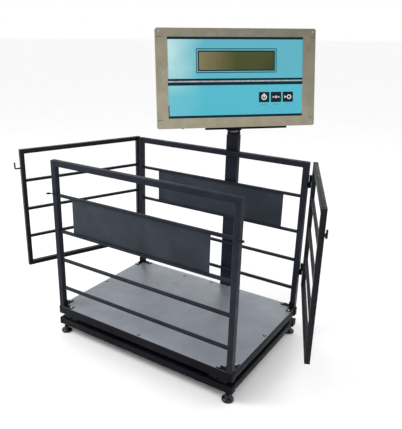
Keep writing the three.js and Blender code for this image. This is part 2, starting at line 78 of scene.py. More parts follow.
# ---------------------------------------------------------------- node-tree helper
class Material:
    """A material's node tree, with short calls for the few node types used here."""

    def __init__(self, name):
        self.material = bpy.data.materials.new(name)
        self.material.use_nodes = True
        self.tree = self.material.node_tree
        self.shader = self.tree.nodes["Principled BSDF"]
        self.place = self.node("ShaderNodeTexCoord").outputs["Object"]

    def node(self, kind, links=(), **settings):
        made = self.tree.nodes.new(kind)
        for key, value in settings.items():
            setattr(made, key, value)
        for socket, source in dict(links).items():
            if isinstance(source, bpy.types.NodeSocket):
                self.tree.links.new(source, made.inputs[socket])
            else:
                made.inputs[socket].default_value = source
        return made

    def set(self, **values):
        for key, value in values.items():
            socket = self.shader.inputs[key.replace("_", " ")]
            if isinstance(value, bpy.types.NodeSocket):
                self.tree.links.new(value, socket)
            else:
                socket.default_value = value
        return self

    def stretched(self, x, y, z, turn=0.0):
        links = {"Vector": self.place, "Rotation": (0, 0, turn), "Scale": (x, y, z)}
        return self.node("ShaderNodeMapping", links).outputs["Vector"]

    def noise(self, scale, detail=3.0, vector=None, roughness=0.5):
        links = {"Vector": vector or self.place, "Scale": scale, "Detail": detail,
                 "Roughness": roughness}
        return self.node("ShaderNodeTexNoise", links).outputs["Fac"]

    def remap(self, value, low, high, to_low, to_high):
        links = {"Value": value, "From Min": low, "From Max": high,
                 "To Min": to_low, "To Max": to_high}
        return self.node("ShaderNodeMapRange", links).outputs["Result"]

    def math(self, operation, a, b=0.0):
        return self.node("ShaderNodeMath", {0: a, 1: b}, operation=operation).outputs[0]

    def vector_math(self, operation, links, output="Vector"):
        return self.node("ShaderNodeVectorMath", links, operation=operation).outputs[output]

    def mix(self, share, a, b):
        made = self.node("ShaderNodeMix", data_type="RGBA")
        for index, source in ((0, share), (6, a), (7, b)):
            if isinstance(source, bpy.types.NodeSocket):
                self.tree.links.new(source, made.inputs[index])
            else:
                made.inputs[index].default_value = source if index == 0 else (*source, 1)
        return made.outputs[2]

    def axis(self, name, vector=None):
        return self.node("ShaderNodeSeparateXYZ", {"Vector": vector or self.place}).outputs[name]

    def across(self, direction, origin):
        """Metres from origin along a direction."""
        moved = self.vector_math("SUBTRACT", {0: self.place, 1: tuple(origin)})
        return self.vector_math("DOT_PRODUCT", {0: moved, 1: tuple(direction)}, "Value")

    def scaled(self, color, factor):
        return self.vector_math("SCALE", {0: color, "Scale": factor})

    def bump(self, height, distance, strength=1.0, normal=None):
        links = {"Height": height, "Distance": distance, "Strength": strength}
        if normal:
            links["Normal"] = normal
        return self.node("ShaderNodeBump", links).outputs["Normal"]

    def edge(self, radius=0.004, low=0.02, high=0.35):
        """About 1 along sharp outer edges and 0 on the flats."""
        bevel = self.node("ShaderNodeBevel", {"Radius": radius}, samples=4).outputs["Normal"]
        normal = self.node("ShaderNodeNewGeometry").outputs["Normal"]
        dot = self.vector_math("DOT_PRODUCT", {0: bevel, 1: normal}, "Value")
        return self.remap(self.math("SUBTRACT", 1.0, dot), low, high, 0.0, 1.0)


INTO = Vector(joints["key_left_press"]["axis"]).normalized()  # back into the indicator's housing
RIGHT = Vector(joints["indicator_tilt"]["axis"]).normalized()  # across its face
UP = RIGHT.cross(INTO)
FACE_MIDDLE = sum(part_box("indicator_front_bezel"), Vector()) / 2


# ---------------------------------------------------------------- materials
def shade(color, factor, lift=0.0):
    """A color made darker or lighter, never past full white."""
    return tuple(min(c * factor + lift, 1) for c in color)


def powder_coat(name, color, rough, worn=(0.16, 0.165, 0.17), peel=0.00012, shine=0.16):
    """Powder-coated steel: orange peel, faint clouding, dust, and paint worn lighter on edges."""
    m = Material(name)
    cloud = m.remap(m.noise(5.0, 4), 0.3, 0.7, 0.0, 1.0)
    base = m.mix(cloud, shade(color, 0.8), shade(color, 1.3, 0.002))
    specks = m.remap(m.noise(60.0, 6, roughness=0.7), 0.58, 0.78, 0.0, 0.10)
    dust = m.math("MULTIPLY", specks, cloud)
    base = m.mix(dust, base, (0.35, 0.34, 0.32))
    scuff = m.math("MULTIPLY", m.edge(), m.remap(m.noise(85.0, 5), 0.42, 0.66, 0.05, 0.8))
    base = m.mix(scuff, base, worn)
    peel_height = m.noise(700.0, 2)
    dents = m.noise(26.0, 2)
    normal = m.bump(dents, 0.0006, 0.25, m.bump(peel_height, peel))
    roughness = m.remap(m.noise(14.0, 5), 0.3, 0.7, rough - 0.06, rough + 0.1)
    return m.set(Base_Color=base, Roughness=roughness, Normal=normal,
                 Specular_IOR_Level=shine).material


def satin_sheet(name, color):
    """Plain rolled steel sheet with fine scratches, smudges, a few longer scuffs, and painted shade: faces that do
    not point up are painted near-black.
    """
    m = Material(name)
    grain = m.noise(420.0, 4, m.stretched(1.0, 0.035, 1.0))
    smudge = m.remap(m.noise(3.2, 5, roughness=0.62), 0.35, 0.7, 0.0, 1.0)
    base = m.mix(smudge, shade(color, 0.86), shade(color, 1.1))
    base = m.mix(m.remap(grain, 0.35, 0.65, 0.0, 0.16), base, shade(color, 0.6))
    scuffs = m.noise(55.0, 6, m.stretched(1, 0.04, 1, turn=0.6), 0.7)
    base = m.mix(m.remap(scuffs, 0.66, 0.72, 0.0, 0.35), base, shade(color, 1.5))
    # painted shade: side and under faces are painted near-black by the direction they face
    upward = m.axis("Z", m.node("ShaderNodeNewGeometry").outputs["Normal"])
    base = m.mix(m.remap(upward, 0.4, 0.9, 1.0, 0.0), base, (0.012, 0.012, 0.014))
    roughness = m.remap(m.noise(9.0, 6, roughness=0.65), 0.3, 0.7, 0.34, 0.56)
    normal = m.bump(grain, 0.00006, 0.7, m.bump(m.noise(2.4, 2), 0.003, 0.25))
    return m.set(Base_Color=base, Metallic=0.55, Roughness=roughness, Normal=normal).material


def stainless(name, color, grain_along):
    """Satin stainless steel: brushing, soft stains, painted highlights on its edges, and a painted sheen that
    falls off up and right.
    """
    m = Material(name)
    grain = m.noise(300.0, 3, m.stretched(*grain_along))
    stain = m.remap(m.noise(11.0, 5, roughness=0.6), 0.35, 0.68, 0.0, 1.0)
    base = m.mix(stain, shade(color, 0.87), shade(color, 1.1))
    base = m.mix(m.remap(grain, 0.3, 0.7, 0.0, 0.22), base, shade(color, 0.62))
    spot = m.remap(m.noise(95.0, 5, roughness=0.7), 0.64, 0.75, 0.0, 0.2)
    base = m.mix(spot, base, (0.55, 0.42, 0.33))
    # painted highlight: every edge is painted lighter
    base = m.mix(m.math("MULTIPLY", m.edge(0.005), 0.5), base, shade(color, 1.7))
    # painted sheen: the colour is scaled lighter low and left, darker up and right across the face
    fall = m.across(RIGHT * 0.225 + UP * 0.714, FACE_MIDDLE)
    base = m.scaled(base, m.math("SUBTRACT", 1.12, fall))
    roughness = m.remap(m.noise(30.0, 4), 0.3, 0.7, 0.36, 0.52)
    normal = m.bump(grain, 0.00004, 0.6, m.bump(m.noise(6.0, 2), 0.002, 0.3))
    return m.set(Base_Color=base, Metallic=0.45, Roughness=roughness, Normal=normal).material


def zinc(name, color=(0.62, 0.63, 0.64), rough=0.3):
    """Bright zinc plate, blotched, with dirt in the hollows."""
    m = Material(name)
    blotch = m.remap(m.noise(160.0, 4), 0.35, 0.65, 0.0, 1.0)
    base = m.mix(blotch, shade(color, 0.75), color)
    base = m.mix(m.remap(m.noise(420.0, 5), 0.6, 0.75, 0.0, 0.6), base, (0.12, 0.1, 0.08))
    roughness = m.remap(m.noise(240.0, 3), 0.3, 0.7, rough - 0.08, rough + 0.12)
    normal = m.bump(m.noise(900.0, 2), 0.00003)
    return m.set(Base_Color=base, Metallic=0.9, Roughness=roughness, Normal=normal).material


def moulded(name, color, rough=0.45, grain=0.00005, coat=0.0, shine=0.5):
    """Moulded or printed plastic: spark-eroded grain, faint mottling and finger marks."""
    m = Material(name)
    mottle = m.remap(m.noise(24.0, 4), 0.3, 0.7, 0.0, 1.0)
    base = m.mix(mottle, shade(color, 0.88), shade(color, 1.1, 0.002))
    roughness = m.remap(m.noise(18.0, 5), 0.3, 0.7, rough - 0.07, rough + 0.1)
    normal = m.bump(m.noise(1400.0, 2), grain)
    return m.set(Base_Color=base, Roughness=roughness, Normal=normal, Coat_Weight=coat,
                 Specular_IOR_Level=shine).material


TUBE = powder_coat("tube powder coat", (0.009, 0.0112, 0.019), 0.42, shine=0.11)
SHEET = powder_coat("panel powder coat", (0.019, 0.025, 0.035), 0.5)
BLACK = powder_coat("black powder coat", (0.003, 0.003, 0.006), 0.4,
                    worn=(0.05, 0.05, 0.055), shine=0.06)
GATE = powder_coat("gate powder coat", (0.004, 0.0045, 0.007), 0.4, shine=0.14)
DECK = satin_sheet("deck sheet", (0.285, 0.305, 0.345))
HOUSING = stainless("indicator housing", (0.235, 0.215, 0.155), (1.0, 1.0, 0.03))
ZINC = zinc("zinc plate")
# near-black steel; on the load cells between the frames this dark is painted shade for the gap there; the mast
# bolts and foot stems share it
CELL = zinc("blackened steel and painted shade", (0.008, 0.008, 0.010), 0.45)

SLOT_MATERIALS = {
    "tube_paint": TUBE,
    "panel_paint": SHEET,
    "black_frame": BLACK,
    "deck_sheet": DECK,
    "foot_black": BLACK,
    "load_cell_steel": CELL,
    "zinc_plate": ZINC,
    "housing_steel": HOUSING,
    "face_membrane": moulded("face back", (0.08, 0.38, 0.50)),
    "display_glass": moulded("display olive", (0.16, 0.16, 0.07)),
    "display_carrier": moulded("display carrier", (0.05, 0.06, 0.03)),
    "circuit_laminate": moulded("circuit laminate", (0.02, 0.14, 0.06)),
    "key_plastic": moulded("key plastic", (0.008, 0.022, 0.04)),
    "gland_plastic": moulded("gland plastic", (0.012, 0.012, 0.012)),
}
DARKER_PAINT = {"post_shoe": BLACK, "hinge": BLACK, "gate": GATE, "latch": GATE}
ROUNDING = {  # bevel width in metres for the nodes of each slot
    "tube_paint": 0.0022,
    "black_frame": 0.003,
    "deck_sheet": 0.0008,
    "panel_paint": 0.0006,
    "load_cell_steel": 0.001,
    "housing_steel": 0.0012,
    "zinc_plate": 0.001,
    "foot_black": 0.001,
}


def paint(node_name, slot):
    """The darker paint of shoes, hinges, gates and latches, or else the slot's own material."""
    for word, material in DARKER_PAINT.items():
        if word in node_name:
            return material
    return SLOT_MATERIALS[slot]


def dress_cad_nodes():
    """Gives every CAD node its material, and rounded edges where a real one has them."""
    for row in frame["record"]["subparts"]:
        node, name = nodes[row["node"]], row["material_slot"]
        node.data.materials.clear()
        node.data.materials.append(paint(row["node"], name))
        if name not in ROUNDING:
            continue
        for polygon in node.data.polygons:
            polygon.use_smooth = True
        weld = node.modifiers.new("weld", "WELD")
        weld.merge_threshold = 1e-6
        flat = node.modifiers.new("flat", "DECIMATE")
        flat.decimate_type = "DISSOLVE"
        flat.angle_limit = math.radians(1)
        bevel = node.modifiers.new("bevel", "BEVEL")
        bevel.width = ROUNDING[name]
        bevel.segments = 3
        bevel.limit_method = "ANGLE"
        bevel.angle_limit = math.radians(50)
        bevel.harden_normals = True


dress_cad_nodes()


# ---------------------------------------------------------------- mesh helpers
def circle(steps):
    """Unit directions round a full turn."""
    return [(math.cos(a), math.sin(a)) for a in (2 * math.pi * i / steps for i in range(steps))]


class Piece:
    """Gathers solids into one mesh object that rides on one CAD body."""

    def __init__(self, name, body, material, slot=None, frame_matrix=None):
        self.name, self.body, self.material, self.slot = name, body, material, slot
        self.frame = frame_matrix or Matrix.Identity(4)
        self.mesh = bmesh.new()

    def rings(self, rings, matrix=None, cap=True):
        """Skins a stack of equal rings of points, and closes both ends."""
        matrix = matrix or Matrix.Identity(4)
        rows = [[self.mesh.verts.new(matrix @ Vector(p)) for p in ring] for ring in rings]
        count = len(rows[0])
        for lower, upper in zip(rows, rows[1:]):
            for i in range(count):
                j = (i + 1) % count
                self.mesh.faces.new((lower[i], lower[j], upper[j], upper[i]))
        if cap:
            self.mesh.faces.new(rows[0][::-1])
            self.mesh.faces.new(rows[-1])
        return self

    def lathe(self, profile, matrix=None, steps=32):
        """Turns (radius, height) points about Z, with a flat cap at each end."""
        rings = [[(r * c, r * s, z) for c, s in circle(steps)] for r, z in profile]
        return self.rings(rings, matrix)

    def block(self, low, high, matrix=None):
        (x0, y0, z0), (x1, y1, z1) = low, high
        ring = [(x0, y0), (x1, y0), (x1, y1), (x0, y1)]
        return self.rings([[(x, y, z) for x, y in ring] for z in (z0, z1)], matrix)

    def plate(self, outlines, z0, z1, matrix=None):
        """A flat plate with holes: outlines are closed lists of (x, y), the outer one first."""
        curve = bpy.data.curves.new("outline", "CURVE")
        curve.dimensions, curve.fill_mode, curve.extrude = "2D", "BOTH", (z1 - z0) / 2
        for outline in outlines:
            spline = curve.splines.new("POLY")
            spline.points.add(len(outline) - 1)
            for point, (x, y) in zip(spline.points, outline):
                point.co = (x, y, 0, 1)
            spline.use_cyclic_u = True
        shape = bpy.data.objects.new("outline", curve)
        flat = bpy.data.meshes.new_from_object(shape)
        flat.transform((matrix or Matrix.Identity(4)) @ Matrix.Translation((0, 0, (z0 + z1) / 2)))
        self.mesh.from_mesh(flat)
        bpy.data.objects.remove(shape)
        bpy.data.curves.remove(curve)
        bpy.data.meshes.remove(flat)
        return self

    def done(self, smooth=35, rounding=0.0, replaces=()):
        bmesh.ops.remove_doubles(self.mesh, verts=self.mesh.verts, dist=1e-6)
        bmesh.ops.recalc_face_normals(self.mesh, faces=self.mesh.faces)
        mesh = bpy.data.meshes.new(self.name)
        self.mesh.to_mesh(mesh)
        self.mesh.free()
        mesh.materials.append(self.material)
        made = bpy.data.objects.new(self.name, mesh)
        made.matrix_world = self.frame
        bpy.context.scene.collection.objects.link(made)
        if rounding:
            bevel = made.modifiers.new("bevel", "BEVEL")
            bevel.width, bevel.segments = rounding, 3
            bevel.limit_method, bevel.angle_limit = "ANGLE", math.radians(40)
        mesh.shade_smooth()
        mesh.set_sharp_from_angle(angle=math.radians(smooth))
        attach(made, self.body)
        if replaces:
            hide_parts(*replaces)
        return made


def arc(cx, cy, r, start, end, steps):
    return [(cx + r * math.cos(a), cy + r * math.sin(a))
            for a in (math.radians(start + (end - start) * i / steps) for i in range(steps + 1))]


def rounded(x0, x1, y0, y1, r, steps=5):
    """Outline of a rectangle with round corners."""
    return (arc(x1 - r, y0 + r, r, -90, 0, steps) + arc(x1 - r, y1 - r, r, 0, 90, steps)
            + arc(x0 + r, y1 - r, r, 90, 180, steps) + arc(x0 + r, y0 + r, r, 180, 270, steps))


def shrunk(rect, inset, r):
    """Outline of a rounded rectangle this far inside rect, which starts with x0, x1, y0, y1."""
    x0, x1, y0, y1 = rect[:4]
    return rounded(x0 + inset, x1 - inset, y0 + inset, y1 - inset, r)


def facing(point, direction, spin=0.0):
    """Places +Z of a shape along direction, at point."""
    turn = Vector(direction).to_track_quat("Z", "Y").to_matrix().to_4x4()
    return Matrix.Translation(point) @ turn @ Matrix.Rotation(spin, 4, "Z")


# ---------------------------------------------------------------- fasteners and welds
def hexagon_rings(across, height, chamfer=0.93, steps=48):
    """Rings of a hexagonal head whose corners are turned down to a chamfer."""
    half = across / 2
    low, shoulder, top = [], [], []
    for i in range(steps):
        a = 2 * math.pi * i / steps
        reach = half / math.cos((a + math.pi / 6) % (math.pi / 3) - math.pi / 6)
        c, s = math.cos(a), math.sin(a)
        low.append((reach * c, reach * s, 0))
        shoulder.append((reach * c, reach * s, height - 0.12 * height - (reach - half) * 0.58))
        top.append((half * chamfer * c, half * chamfer * s, height))
    return [low, shoulder, top]


def hex_bolt(piece, matrix, size):
    """Washer and chamfered hexagon head, for a bolt of this thread diameter."""
    washer, thick, head = size * 1.05, size * 0.2, size * 0.64
    piece.lathe([(washer * 0.97, 0), (washer, thick * 0.25), (washer, thick * 0.8),
                 (washer * 0.96, thick)], matrix, 28)
    piece.rings(hexagon_rings(size * 1.65, head), matrix @ Matrix.Translation((0, 0, thick)))
    top = thick + head
    piece.lathe([(size * 0.6, top - 0.0004), (size * 0.58, top + 0.0002),
                 (size * 0.5, top - 0.0001)], matrix, 28)


def pan_screw(piece, matrix, radius):
    """Low domed screw head."""
    shares = [(1, 0), (1, 0.25), (0.9, 0.5), (0.62, 0.68), (0.3, 0.74)]
    piece.lathe([(radius * r, radius * z) for r, z in shares], matrix, 24)


def cross_recess(piece, matrix, radius):
    """Thin dark cross of painted shade that stands for the recess in a pan_screw of the same radius."""
    arm, wide, deep = radius * 0.5, radius * 0.11, radius * 0.76
    for turn in (0, math.pi / 2):
        spun = matrix @ Matrix.Rotation(turn, 4, "Z")
        piece.block((-arm, -wide, deep - radius * 0.1), (arm, wide, deep), spun)


def weld_bead(piece, points, radius, closed=True, pitch=0.0026):
    """A rippled bead along a run of points. Its ripples and its width wander a little."""
    run = [Vector(p) for p in points]
    if closed:
        run.append(run[0])
    stations = []
    for a, b in zip(run, run[1:]):
        count = max(2, round((b - a).length / pitch * 2))
        stations += [(a.lerp(b, i / count), (b - a).normalized()) for i in range(count)]
    rings = []
    for i, (point, along) in enumerate(stations):
        swell = radius * (0.86 + 0.2 * (i % 2) + random.uniform(-0.06, 0.06))
        side = along.orthogonal().normalized()
        over = along.cross(side)
        rings.append([point + side * (swell * math.cos(a)) + over * (swell * math.sin(a))
                      for a in (math.pi / 3 * k for k in range(6))])
    if not closed:
        piece.rings(rings)
        return
    piece.rings(rings + rings[:1], cap=False)


def square(centre, half_a, half_b, axis_a, axis_b):
    """Corners of a rectangle, in order."""
    c, a, b = Vector(centre), Vector(axis_a), Vector(axis_b)
    return [c - a * half_a - b * half_b, c + a * half_a - b * half_b,
            c + a * half_a + b * half_b, c - a * half_a + b * half_b]


TACK = 0.022  # length of a tack weld


def middle_of(name):
    """Centre and half size of a node's box."""
    lo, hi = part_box(name)
    return (lo + hi) / 2, (hi - lo) / 2


def fence_welds():
    """Beads at the rails' ends and the posts' feet, and tacks along the panels."""
    piece = Piece("fence_welds", "scale", TUBE, "tube_paint")
    for row, _ in ROWS:
        for rail in ("top_rail", "rail_2", "rail_3", "rail_4", "rail_5"):
            centre, half = middle_of(f"{row}_fence_{rail}")
            for _, side in SIDES:
                end = centre + Vector((side * half.x, 0, 0))
                weld_bead(piece, square(end, half.y, half.z, Y, Z), 0.0019)
        centre, half = middle_of(f"{row}_fence_panel")
        for top in (-1, 1):  # tacks that hold the panel to its rails
            for k in range(-3, 4):
                tack = centre + Vector((k * half.x / 3.2, 0, top * half.z))
                for face in (-1, 1):
                    start = tack + Vector((-TACK / 2, face * half.y, 0))
                    weld_bead(piece, [start, start + X * TACK], 0.0017, closed=False)
        for side, _ in SIDES:
            lo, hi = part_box(f"{row}_fence_{side}_post")
            centre, half = (lo + hi) / 2, (hi - lo) / 2
            foot = Vector((centre.x, centre.y, lo.z))
            weld_bead(piece, square(foot, half.x - 0.001, half.y - 0.001, X, Y), 0.002)
    piece.done(smooth=60)


def gate_axes(side, sign):
    """Hinge axis point and the directions along the gate and out of its plane, at rest."""
    pivot = Vector(joints[f"{side}_gate_swing"]["pos_m"])
    turn = sign * math.radians(-joints[f"{side}_gate_swing"]["range_deg"][0])
    along = Vector((math.sin(turn), -math.cos(turn), 0))
    out = Vector((sign * math.cos(turn), sign * math.sin(turn), 0))
    return pivot, along, out


def extent(name, directions, origin=Vector()):
    """Lowest and highest reach of a node's mesh along each direction from origin."""
    spans = []
    for direction in directions:
        reach = [(v.co - origin).dot(direction) for v in nodes[name].data.vertices]
        spans.append((min(reach), max(reach)))
    return spans


GATE_TUBE, GATE_RAIL = 0.032, 0.020
GATE_BARS = 5  # top and bottom tubes and the three rails between


def gate_welds():
    """Beads at both ends of every bar of each gate."""
    for side, sign in SIDES:
        piece = Piece(f"{side}_gate_welds", f"{side}_gate", GATE, "tube_paint")
        pivot, along, out = gate_axes(side, sign)
        pivot = Vector((pivot.x, pivot.y, 0))
        (a0, a1), (o0, o1), (z0, z1) = extent(f"{side}_gate_frame", (along, out, Z), pivot)
        plane = (o0 + o1) / 2
        inner = (a0 + GATE_TUBE, a1 - GATE_TUBE)
        pitch = (z1 - z0 - GATE_TUBE) / (GATE_BARS - 1)
        for i in range(GATE_BARS):
            z = z0 + GATE_TUBE / 2 + i * pitch
            half = (GATE_TUBE if i in (0, GATE_BARS - 1) else GATE_RAIL) / 2
            for reach in inner:
                centre = pivot + along * reach + out * plane + Z * z
                weld_bead(piece, square(centre, half, half, out, Z), 0.0018)
        piece.done(smooth=60)


FRAME_TUBES = (("platform_frame", 0.04), ("base_frame", 0.05))  # node and width of its tube


def frame_welds():
    """Seams at the corners of both frames: up the outside, along the bottom, up the inside."""
    piece = Piece("frame_welds", "scale", BLACK, "black_frame")
    for name, width in FRAME_TUBES:
        lo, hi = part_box(name)
        for x, sx in ((lo.x, 1), (hi.x, -1)):
            for y, sy in ((lo.y, 1), (hi.y, -1)):
                seam = Vector((x, y + sy * width, 0))
                across = Vector((sx * width, 0, 0))
                bottom, top = Z * lo.z, Z * hi.z
                weld_bead(piece, [seam + bottom, seam + top], 0.0017, closed=False)
                weld_bead(piece, [seam + bottom, seam + bottom + across], 0.0017, closed=False)
                inside = seam + across
                weld_bead(piece, [inside + bottom, inside + top], 0.0022, closed=False)
    piece.done(smooth=60)


# how far each ring of an end cap lies inside its tube's outline, and past its end
CAP_RINGS = [(-0.0008, 0.0002), (-0.0022, 0.0012), (-0.0022, 0.0052), (-0.0008, 0.0068),
             (0.003, 0.0078)]


def end_caps():
    """Black plastic caps in the open ends of the long tubes of both frames."""
    plastic = moulded("cap_plastic", (0.003, 0.003, 0.005), 0.5, 0.0001, shine=0.08)
    piece = Piece("tube_end_caps", "scale", plastic, "black_frame")
    for name, width in FRAME_TUBES:
        lo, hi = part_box(name)
        half, tall = width / 2, (hi.z - lo.z) / 2
        for _, sx in SIDES:
            for y in (lo.y + width / 2, hi.y - width / 2):
                end = Vector((sx * hi.x, y, (lo.z + hi.z) / 2))
                outward = Matrix(((0, 0, sx, 0), (sx, 0, 0, 0), (0, 1, 0, 0), (0, 0, 0, 1)))
                outlines = [(shrunk((-half, half, -tall, tall), inset, 0.004), out)
                            for inset, out in CAP_RINGS]
                piece.rings([[(x, z, out) for x, z in outline] for outline, out in outlines],
                            Matrix.Translation(end) @ outward)
    piece.done(smooth=60)


SHOE_BOLT_REACH = 0.062  # from the post's face to the bolt


def shoe_bolts():
    """Bolts through the shoes' tabs, and the beads where the shoes meet their posts."""
    piece = Piece("post_shoe_bolts", "scale", ZINC, "zinc_plate")
    beads = Piece("post_shoe_welds", "scale", TUBE, "tube_paint")
    for row, sy, side, sx in CORNERS:
        post, half = middle_of(f"{row}_fence_{side}_post")
        lo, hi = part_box(f"post_shoe_{row}_{side}")
        top = lo.z + 0.004
        for dx, dy in ((-sx, 0), (0, -sy)):
            at = Vector((post.x, post.y, top)) + Vector((dx, dy, 0)) * (half.x + SHOE_BOLT_REACH)
            hex_bolt(piece, facing(at, Z, random.uniform(0, 1)), 0.009)
            foot = Vector((post.x, post.y, 0)) + Vector((dx, dy, 0)) * (half.x + 0.0003)
            across = Vector((abs(dy), abs(dx), 0)) * (half.x - 0.004)
            rim = Z * hi.z
            weld_bead(beads, [foot - across + rim, foot + across + rim], 0.0022, closed=False)
    piece.done()
    beads.done(smooth=60)


def deck_screws():
    """Pan-head screws at the middle of each side of the deck, and one more along its back."""
    lo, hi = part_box("deck_plate")
    centre = (lo + hi) / 2
    edge, radius = 0.022, 0.0068
    places = [(lo.x + edge, centre.y), (hi.x - edge, centre.y), (centre.x, lo.y + edge),
              (centre.x, hi.y - edge), (centre.x - 0.25, hi.y - 0.05)]
    plate = zinc("screw_zinc", (0.5, 0.51, 0.53), 0.35)
    heads = Piece("deck_screws", "scale", plate, "zinc_plate")
    washers = Piece("deck_screw_washers_and_recess_shade", "scale", BLACK, "black_frame")
    for x, y in places:
        matrix = facing((x, y, hi.z), Z, random.uniform(0, 1.5))
        washers.lathe([(0.0125, 0), (0.0125, 0.0006), (0.0116, 0.0011), (0.0080, 0.0012)],
                      matrix, 28)
        seat = matrix @ Matrix.Translation((0, 0, 0.001))
        pan_screw(heads, seat, radius)
        # painted shade: a dark cross on each head stands for its recess
        cross_recess(washers, seat, radius)
    heads.done()
    washers.done()


# ---------------------------------------------------------------- levelling feet
def thread_rings(radius, depth, pitch, z0, z1, steps=20):
    """Rings of a helical thread."""
    count = int((z1 - z0) / pitch * 6)
    rings = []
    for i in range(count + 1):
        z = z0 + (z1 - z0) * i / count
        ring = []
        for k in range(steps):
            phase = (z / pitch - k / steps) % 1.0
            r = radius - depth * abs(2 * phase - 1)
            a = 2 * math.pi * k / steps
            ring.append((r * math.cos(a), r * math.sin(a), z))
        rings.append(ring)
    return rings


# foot pad: (inset from its rim, height), then the (radius, height) of its neck; and its sole
PAD_RIM = [(0.004, 0.004), (0.0012, 0.0046), (0, 0.0065), (0, 0.0125), (0.0012, 0.0155),
           (0.005, 0.0192), (0.011, 0.0228), (0.017, 0.0254)]
PAD_NECK = [(0.0195, 0.0276), (0.0178, 0.0305), (0.017, 0.035), (0.017, 0.0445),
            (0.0158, 0.0458), (0.010, 0.046)]
SOLE_RIM = [(0.003, 0), (0.0012, 0.0012), (0.0022, 0.0022), (0.0012, 0.0032), (0.003, 0.0042)]


def levelling_feet():
    """Pad, rubber sole, threaded stem and lock nut, in place of each plain foot."""
    gloss = moulded("gloss_black_foot", (0.003, 0.003, 0.004), 0.22, 0.00002, coat=0.1, shine=0.25)
    rubber = moulded("rubber_sole", (0.012, 0.012, 0.012), 0.8, 0.0002)
    base_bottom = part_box("base_frame")[0].z
    for row, _, side, _ in CORNERS:
        corner = f"{row}_{side}"
        lo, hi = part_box(f"levelling_foot_{corner}")
        centre = (lo + hi) / 2
        place = Matrix.Translation((centre.x, centre.y, lo.z))
        body = f"foot_{corner}"
        pad = (hi.x - lo.x) / 2
        dome = Piece(f"foot_pad_{corner}", body, gloss, "foot_black")
        dome.lathe([(pad - inset, z) for inset, z in PAD_RIM] + PAD_NECK, place, 48)
        sole = Piece(f"foot_sole_{corner}", body, rubber, "foot_black")
        sole.lathe([(pad - inset, z) for inset, z in SOLE_RIM], place, 48)
        stem = Piece(f"foot_stem_{corner}", body, CELL, "zinc_plate")
        stem.rings(thread_rings(0.008, 0.0009, 0.002, 0.0455, hi.z - lo.z - 0.0005), place)
        nut_at = base_bottom - lo.z - 0.0125
        stem.rings(hexagon_rings(0.026, 0.012), place @ Matrix.Translation((0, 0, nut_at)))
        dome.done(smooth=50, replaces=[f"levelling_foot_{corner}"])
        sole.done(smooth=50)
        stem.done(smooth=40)


# ---------------------------------------------------------------- indicator
def face_frame():
    """The indicator's front: x right, y up, z out of the face, origin at its middle."""
    (u0, u1), (d0, _), (v0, v1) = extent("indicator_front_bezel", (RIGHT, INTO, UP))
    centre = RIGHT * (u0 + u1) / 2 + INTO * d0 + UP * (v0 + v1) / 2
    turn = Matrix((RIGHT, UP, -INTO)).transposed().to_4x4()
    return Matrix.Translation(centre) @ turn


FACE = face_frame()


def face_rect(name):
    """(u0, u1, v0, v1, back, front) of a node in the indicator's local frame."""
    spans = extent(name, (RIGHT, UP, -INTO), FACE.translation)
    return (*spans[0], *spans[1], *spans[2])


def ink(name, color, rough=0.4, shine=0.3):
    """Screen-printed ink: slightly uneven, with pinholes left by the mesh."""
    m = Material(name)
    cloud = m.remap(m.noise(35.0, 5), 0.3, 0.7, 0.0, 1.0)
    base = m.mix(cloud, shade(color, 0.75), shade(color, 1.25, 0.002))
    pinholes = m.remap(m.noise(600.0, 3), 0.66, 0.74, 0.0, 0.4)
    base = m.mix(pinholes, base, shade(color, 2, 0.03))
    roughness = m.remap(m.noise(50.0, 4), 0.3, 0.7, rough - 0.06, rough + 0.1)
    normal = m.bump(m.noise(1500.0, 2), 0.00002)
    return m.set(Base_Color=base, Roughness=roughness, Normal=normal,
                 Specular_IOR_Level=shine).material


def film():
    """Sky-blue film, deeper below, with a painted glare: paler towards the left of its upper field."""
    m = Material("printed_blue_film_with_painted_glare")
    u, v = m.axis("X"), m.axis("Y")
    wander = m.remap(m.noise(4.0, 4), 0.3, 0.7, -0.05, 0.05)
    upper = m.remap(v, -0.03, 0.06, 0.0, 1.0)
    # painted glare: the pale patch at the left of the upper field stands in for a reflection
    pale = m.remap(m.math("ADD", u, wander), -0.25, -0.52, 0.0, 0.95)
    pale = m.math("MULTIPLY", pale, m.remap(v, -0.12, 0.08, 0.18, 1.0))
    base = m.mix(upper, (0.068, 0.435, 0.545), (0.09, 0.385, 0.475))
    base = m.mix(pale, base, (0.48, 0.72, 0.70))
    base = m.mix(m.remap(m.noise(9.0, 5), 0.35, 0.7, 0.0, 0.10), base, (0.05, 0.42, 0.58))
    roughness = m.remap(m.noise(12.0, 5, roughness=0.6), 0.3, 0.7, 0.32, 0.5)
    normal = m.bump(m.noise(1200.0, 2), 0.00002, 1.0, m.bump(m.noise(5.0, 2), 0.0015, 0.3))
    return m.set(Base_Color=base, Roughness=roughness, Normal=normal,
                 Specular_IOR_Level=0.3).material


def liquid_crystal(name, depth=1.0):
    """Unlit olive display: browner and lighter at its left end, darker to the right."""
    m = Material(name)
    u = m.axis("X")
    wander = m.remap(m.noise(7.0, 4), 0.3, 0.7, -0.02, 0.02)
    share = m.remap(m.math("ADD", u, wander), -0.29, -0.02, 0.0, 1.0)
    colors = (0.215, 0.18, 0.088), (0.058, 0.070, 0.018), (0.034, 0.042, 0.014)
    tan, olive, dim = (shade(color, depth) for color in colors)
    base = m.mix(share, tan, olive)
    corner = m.remap(m.math("SUBTRACT", u, m.axis("Y")), 0.05, 0.2, 0.0, 1.0)
    base = m.mix(m.math("MULTIPLY", corner, 0.7), base, dim)
    base = m.mix(m.remap(m.noise(900.0, 2), 0.4, 0.6, 0.0, 0.12), base, (0.03, 0.03, 0.015))
    roughness = m.remap(m.noise(15.0, 4), 0.3, 0.7, 0.1, 0.22)
    return m.set(Base_Color=base, Roughness=roughness, Specular_IOR_Level=0.12).material


